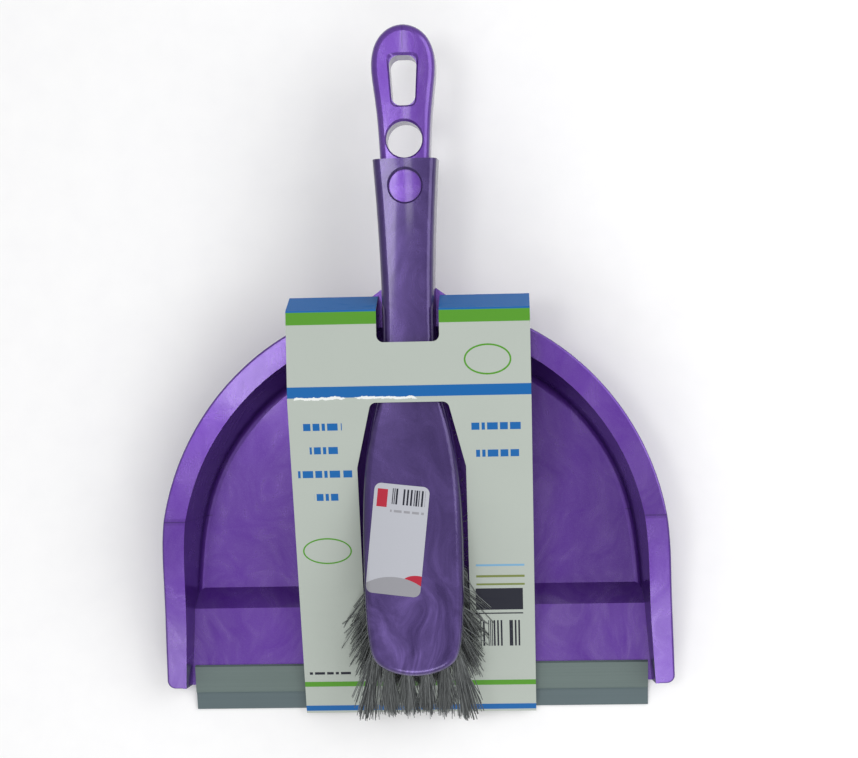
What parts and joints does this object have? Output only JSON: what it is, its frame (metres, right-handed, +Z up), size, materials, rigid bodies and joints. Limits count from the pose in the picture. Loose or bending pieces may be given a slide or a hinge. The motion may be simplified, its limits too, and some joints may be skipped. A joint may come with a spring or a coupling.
{
  "type": "dustpan and brush",
  "caption": "Round-backed dustpan with a soft lip and a hand brush that nests over its handle, held together by a folded card wrap.",
  "frame": {"origin": "on the floor under the centre of the pan's round back, in the flat underside of the basin", "axes": "+X across the pan, +Y from the lip towards the handles, +Z up"},
  "size_m": [0.3064, 0.4076, 0.0709],
  "materials": {
    "pan_plastic": "gloss",
    "brush_plastic": "gloss",
    "lip_rubber": "satin",
    "bristle": "matte",
    "anchor_wire": "satin",
    "card": "satin",
    "label": "satin"
  },
  "bodies": {
    "dustpan": {"dustpan_body": "pan_plastic", "rubber_lip": "lip_rubber"},
    "brush": {"brush_body": "brush_plastic", "tuft_anchors": "anchor_wire", "card_wrap": "card", "price_label": "label", "tuft_row_01": "bristle", "tuft_row_02": "bristle", "tuft_row_03": "bristle", "tuft_row_04": "bristle", "tuft_row_05": "bristle", "tuft_row_06": "bristle", "tuft_row_07": "bristle", "tuft_row_08": "bristle", "tuft_row_09": "bristle", "tuft_row_10": "bristle", "tuft_row_11": "bristle", "tuft_row_12": "bristle", "tuft_row_13": "bristle"}
  },
  "joints": [
    {"name": "brush_lift", "type": "slide", "parent": "dustpan", "child": "brush", "axis": [0, 0, 1], "range_m": [0, 0.25]}
  ]
}
